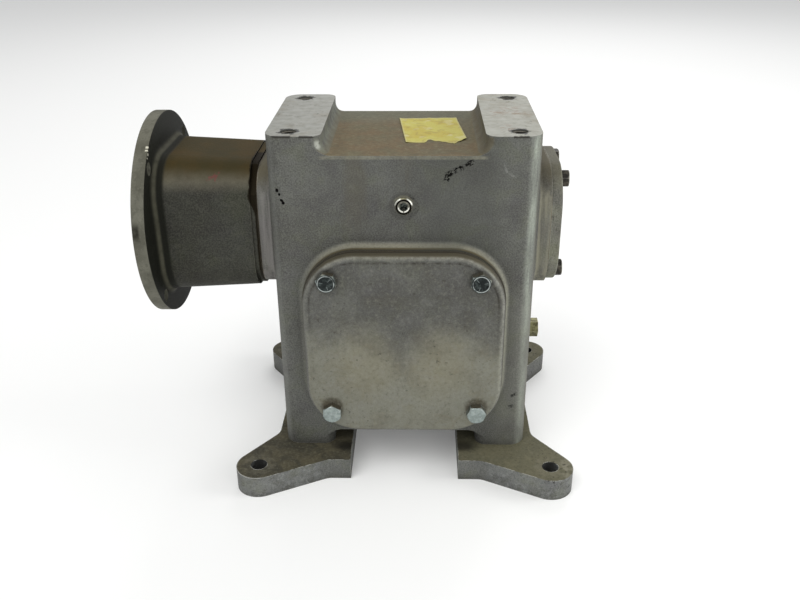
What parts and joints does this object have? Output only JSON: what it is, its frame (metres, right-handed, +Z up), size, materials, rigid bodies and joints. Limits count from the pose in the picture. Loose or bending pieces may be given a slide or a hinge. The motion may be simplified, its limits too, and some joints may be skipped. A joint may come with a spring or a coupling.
{
  "type": "worm gear reducer",
  "caption": "Cast worm gear reducer on foot rails, with a round motor flange on the left, a square front cover, and an output shaft at the back.",
  "frame": {"origin": "centre of the four foot bolt holes, on the floor", "axes": "+X along the worm from the motor flange to the closed end cap, +Y from the front cover to the output shaft's end, +Z up"},
  "size_m": [0.3413, 0.2632, 0.2882],
  "materials": {
    "housing_casting": "sand-cast grey with machined pads",
    "cover_casting": "sand-cast, faced by turning",
    "cap_casting": "sand-cast",
    "adapter_casting": "sand-cast, dark and dusty",
    "foot_casting": "sand-cast, dusty",
    "zinc_steel": "zinc plated, worn",
    "black_steel": "black oxide",
    "plug_steel": "plain steel",
    "plug_brass": "tarnished",
    "gasket_paper": "oil-soaked fibre",
    "seal_rubber": "moulded",
    "bearing_steel": "ground",
    "cage_steel": "pressed",
    "shaft_steel": "turned and ground",
    "bronze": "hobbed",
    "hub_iron": "sand-cast"
  },
  "bodies": {
    "gearcase": {"housing": "housing_casting", "output_cover": "cover_casting", "cover_gasket": "gasket_paper", "cover_bolts": "zinc_steel", "end_cap": "cap_casting", "end_cap_gasket": "gasket_paper", "end_cap_bolts": "zinc_steel", "motor_adapter": "adapter_casting", "adapter_gasket": "gasket_paper", "adapter_bolts": "black_steel", "left_foot": "foot_casting", "right_foot": "foot_casting", "foot_screws": "black_steel", "fill_plug": "plug_steel", "level_plug": "plug_brass", "input_seal": "seal_rubber", "output_seal": "seal_rubber", "worm_left_cup": "bearing_steel", "worm_right_cup": "bearing_steel", "output_front_cup": "bearing_steel", "output_rear_cup": "bearing_steel"},
    "output_drive": {"output_shaft": "shaft_steel", "wheel_key": "shaft_steel", "wheel_hub": "hub_iron", "wheel_rim": "bronze", "wheel_spacer": "shaft_steel", "output_front_cone": "bearing_steel", "output_rear_cone": "bearing_steel"},
    "worm_drive": {"worm_shaft": "shaft_steel", "worm_left_cone": "bearing_steel", "worm_right_cone": "bearing_steel"},
    "output_front_roller_set": {"output_front_rollers": "bearing_steel", "output_front_cage": "cage_steel"},
    "output_rear_roller_set": {"output_rear_rollers": "bearing_steel", "output_rear_cage": "cage_steel"},
    "worm_left_roller_set": {"worm_left_rollers": "bearing_steel", "worm_left_cage": "cage_steel"},
    "worm_right_roller_set": {"worm_right_rollers": "bearing_steel", "worm_right_cage": "cage_steel"}
  },
  "joints": [
    {"name": "output_spin", "type": "hinge", "parent": "gearcase", "child": "output_drive", "pos_m": [0, 0, 0.12315], "axis": [0, 1, 0], "continuous": true},
    {"name": "worm_spin", "type": "hinge", "parent": "gearcase", "child": "worm_drive", "pos_m": [0, 0, 0.2057], "axis": [1, 0, 0], "continuous": true},
    {"name": "output_front_rollers_spin", "type": "hinge", "parent": "gearcase", "child": "output_front_roller_set", "pos_m": [0, 0, 0.12315], "axis": [0, 1, 0], "continuous": true},
    {"name": "output_rear_rollers_spin", "type": "hinge", "parent": "gearcase", "child": "output_rear_roller_set", "pos_m": [0, 0, 0.12315], "axis": [0, 1, 0], "continuous": true},
    {"name": "worm_left_rollers_spin", "type": "hinge", "parent": "gearcase", "child": "worm_left_roller_set", "pos_m": [0, 0, 0.2057], "axis": [1, 0, 0], "continuous": true},
    {"name": "worm_right_rollers_spin", "type": "hinge", "parent": "gearcase", "child": "worm_right_roller_set", "pos_m": [0, 0, 0.2057], "axis": [1, 0, 0], "continuous": true}
  ],
  "couplings": [
    {"joint": "worm_spin", "follows": "output_spin", "ratio": -20},
    {"joint": "output_front_rollers_spin", "follows": "output_spin", "ratio": 0.4302},
    {"joint": "output_rear_rollers_spin", "follows": "output_spin", "ratio": 0.4302},
    {"joint": "worm_left_rollers_spin", "follows": "output_spin", "ratio": -8.604},
    {"joint": "worm_right_rollers_spin", "follows": "output_spin", "ratio": -8.604}
  ]
}
